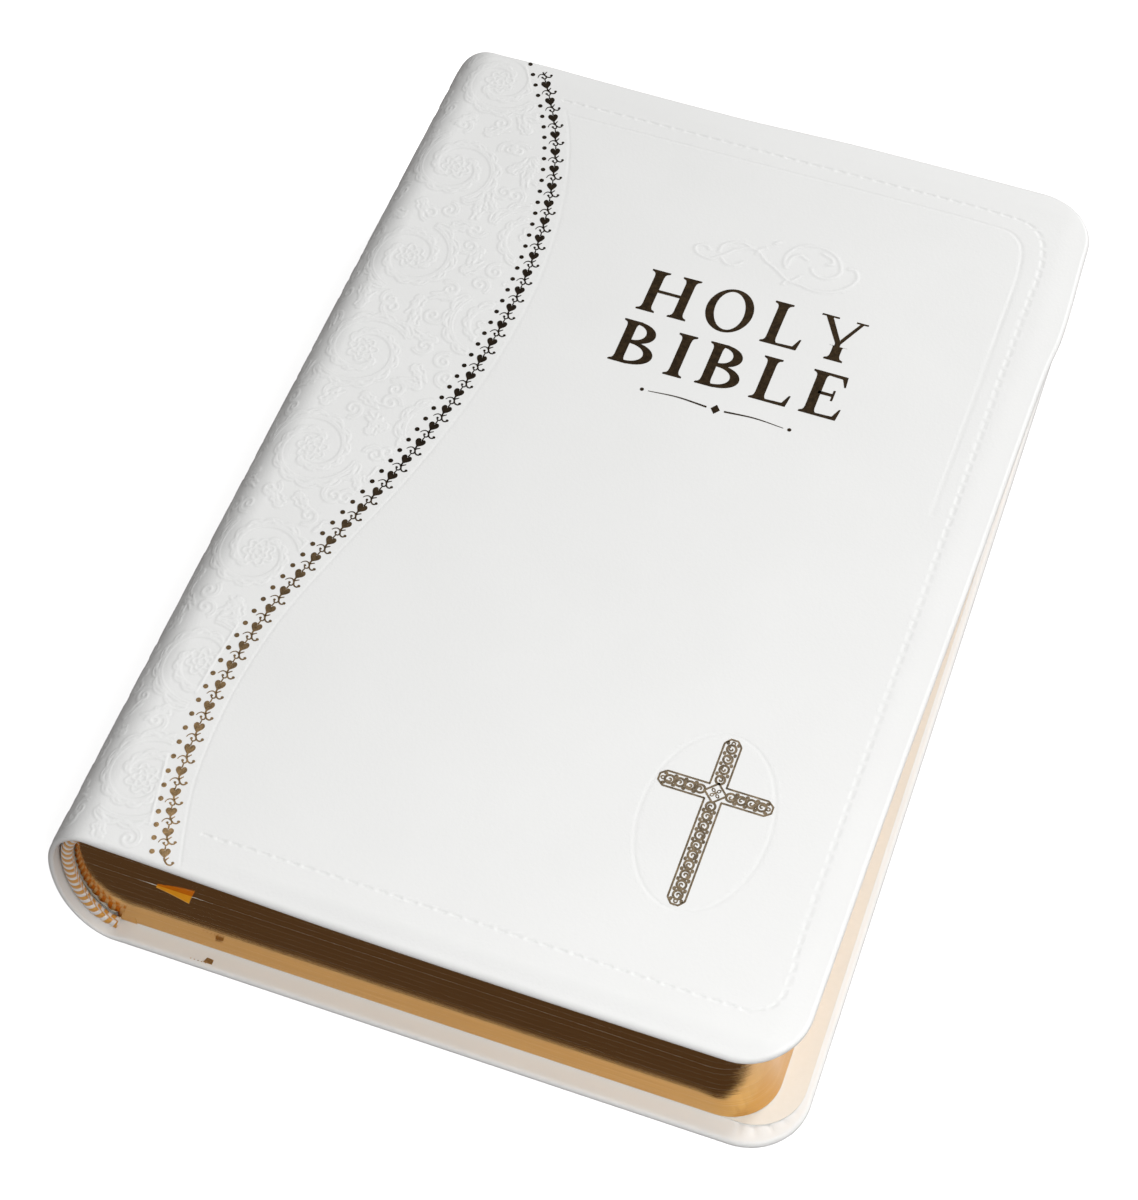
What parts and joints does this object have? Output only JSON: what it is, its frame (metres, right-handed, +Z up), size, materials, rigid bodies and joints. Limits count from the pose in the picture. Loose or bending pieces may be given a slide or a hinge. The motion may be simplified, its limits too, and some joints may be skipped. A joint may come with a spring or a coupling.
{
  "type": "bible",
  "caption": "Soft-cover bible with a rounded spine, sewn page sections, headbands, a ribbon marker and two covers that fold back from the spine.",
  "frame": {"origin": "middle of the footprint, on the underside of the back cover", "axes": "+X from the spine to the fore edge, +Y from the tail to the head, +Z up from the back cover to the front cover"},
  "size_m": [0.144, 0.21, 0.04],
  "materials": {
    "cover_leather": "white grained imitation leather, blind embossed and foil stamped",
    "flexible_card": "flexible grey-brown card",
    "endpaper": "smooth cream paper",
    "gilt_pages": "thin white paper with gilt edges",
    "kraft_paper": "brown kraft paper",
    "mull_cloth": "open-weave cotton, sized with glue",
    "cotton_tape": "woven cotton tape",
    "linen_thread": "waxed linen thread",
    "headband_silk": "white and gold striped silk",
    "ribbon_satin": "golden satin ribbon"
  },
  "bodies": {
    "text_block": {"front_section_folds": "gilt_pages", "back_section_folds": "gilt_pages", "section_02": "gilt_pages", "section_03": "gilt_pages", "section_04": "gilt_pages", "section_05": "gilt_pages", "section_06": "gilt_pages", "section_07": "gilt_pages", "section_08": "gilt_pages", "section_09": "gilt_pages", "section_10": "gilt_pages", "section_11": "gilt_pages", "section_12": "gilt_pages", "section_13": "gilt_pages", "section_14": "gilt_pages", "section_15": "gilt_pages", "spine_skin": "cover_leather", "spine_card": "flexible_card", "spine_liner": "kraft_paper", "mull": "mull_cloth", "sewing_tape_1": "cotton_tape", "sewing_tape_2": "cotton_tape", "sewing_tape_3": "cotton_tape", "kettle_stitch_tail": "linen_thread", "kettle_stitch_head": "linen_thread", "tail_headband": "headband_silk", "tail_headband_cloth": "cotton_tape", "head_headband": "headband_silk", "head_headband_cloth": "cotton_tape", "ribbon_marker": "ribbon_satin"},
    "front_cover": {"front_cover_skin": "cover_leather", "front_cover_card": "flexible_card", "front_pastedown": "endpaper"},
    "front_flyleaf": {"front_flyleaf": "endpaper"},
    "front_leaves_1": {"front_leaves_1": "gilt_pages"},
    "front_leaves_2": {"front_leaves_2": "gilt_pages"},
    "front_leaves_3": {"front_leaves_3": "gilt_pages"},
    "back_cover": {"back_cover_skin": "cover_leather", "back_cover_card": "flexible_card", "back_pastedown": "endpaper"},
    "back_flyleaf": {"back_flyleaf": "endpaper"},
    "back_leaves_1": {"back_leaves_1": "gilt_pages"},
    "back_leaves_2": {"back_leaves_2": "gilt_pages"},
    "back_leaves_3": {"back_leaves_3": "gilt_pages"}
  },
  "joints": [
    {"name": "front_cover_hinge", "type": "hinge", "parent": "text_block", "child": "front_cover", "pos_m": [-0.059, 0, 0.04015], "axis": [0, -1, 0], "range_deg": [0, 178]},
    {"name": "front_flyleaf_hinge", "type": "hinge", "parent": "text_block", "child": "front_flyleaf", "pos_m": [-0.059, 0, 0.04015], "axis": [0, -1, 0], "range_deg": [0, 170]},
    {"name": "front_leaves_1_hinge", "type": "hinge", "parent": "text_block", "child": "front_leaves_1", "pos_m": [-0.059, 0, 0.04015], "axis": [0, -1, 0], "range_deg": [0, 152]},
    {"name": "front_leaves_2_hinge", "type": "hinge", "parent": "text_block", "child": "front_leaves_2", "pos_m": [-0.059, 0, 0.04015], "axis": [0, -1, 0], "range_deg": [0, 134]},
    {"name": "front_leaves_3_hinge", "type": "hinge", "parent": "text_block", "child": "front_leaves_3", "pos_m": [-0.059, 0, 0.04015], "axis": [0, -1, 0], "range_deg": [0, 116]},
    {"name": "back_cover_hinge", "type": "hinge", "parent": "text_block", "child": "back_cover", "pos_m": [-0.059, 0, -0.00015], "axis": [0, 1, 0], "range_deg": [0, 178]},
    {"name": "back_flyleaf_hinge", "type": "hinge", "parent": "text_block", "child": "back_flyleaf", "pos_m": [-0.059, 0, -0.00015], "axis": [0, 1, 0], "range_deg": [0, 170]},
    {"name": "back_leaves_1_hinge", "type": "hinge", "parent": "text_block", "child": "back_leaves_1", "pos_m": [-0.059, 0, -0.00015], "axis": [0, 1, 0], "range_deg": [0, 152]},
    {"name": "back_leaves_2_hinge", "type": "hinge", "parent": "text_block", "child": "back_leaves_2", "pos_m": [-0.059, 0, -0.00015], "axis": [0, 1, 0], "range_deg": [0, 134]},
    {"name": "back_leaves_3_hinge", "type": "hinge", "parent": "text_block", "child": "back_leaves_3", "pos_m": [-0.059, 0, -0.00015], "axis": [0, 1, 0], "range_deg": [0, 116]}
  ],
  "couplings": [
    {"joint": "front_flyleaf_hinge", "follows": "front_cover_hinge", "ratio": 0.94},
    {"joint": "front_leaves_1_hinge", "follows": "front_cover_hinge", "ratio": 0.84},
    {"joint": "front_leaves_2_hinge", "follows": "front_cover_hinge", "ratio": 0.74},
    {"joint": "front_leaves_3_hinge", "follows": "front_cover_hinge", "ratio": 0.64},
    {"joint": "back_flyleaf_hinge", "follows": "back_cover_hinge", "ratio": 0.94},
    {"joint": "back_leaves_1_hinge", "follows": "back_cover_hinge", "ratio": 0.84},
    {"joint": "back_leaves_2_hinge", "follows": "back_cover_hinge", "ratio": 0.74},
    {"joint": "back_leaves_3_hinge", "follows": "back_cover_hinge", "ratio": 0.64}
  ]
}
